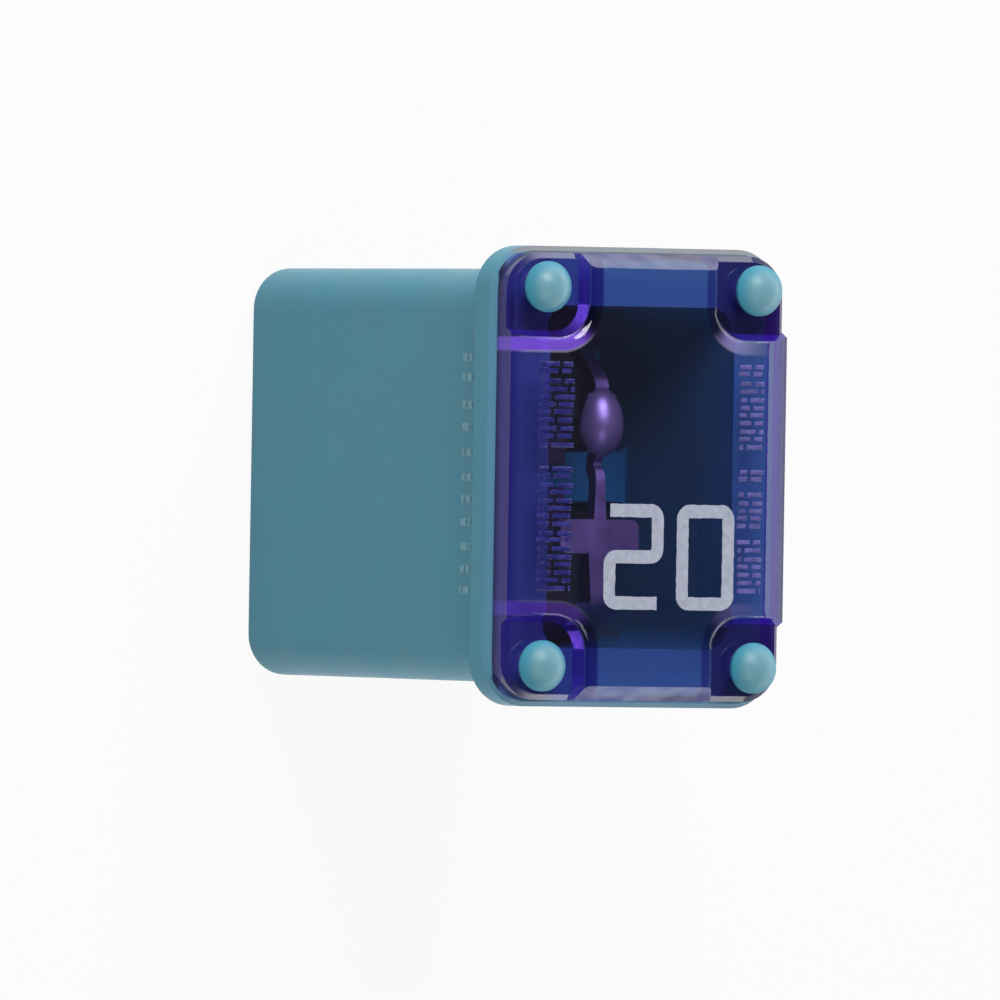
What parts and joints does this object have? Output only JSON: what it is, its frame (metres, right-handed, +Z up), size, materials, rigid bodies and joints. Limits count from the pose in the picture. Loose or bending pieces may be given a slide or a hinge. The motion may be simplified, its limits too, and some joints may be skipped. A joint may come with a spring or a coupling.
{
  "type": "micro female fuse",
  "caption": "Cartridge fuse with a teal housing, a clear violet window over the fuse link, and female blade sockets in its terminal end.",
  "frame": {"origin": "centre of the terminal end's flat face, on which the fuse stands", "axes": "+Z up through the window, X along the window's long side, Y along its short side"},
  "size_m": [0.012, 0.0086, 0.0163],
  "materials": {
    "teal_plastic": "satin moulded, fine grain",
    "violet_window": "clear tinted, glossy",
    "tinned_alloy": "tin plated, satin",
    "tin": "soft bright metal",
    "spring_steel": "stainless, satin"
  },
  "bodies": {
    "root": {"housing": "teal_plastic", "window_cap": "violet_window", "fuse_element": "tinned_alloy", "tin_pellet": "tin", "spring_clip_left": "spring_steel", "spring_clip_right": "spring_steel"}
  },
  "joints": []
}
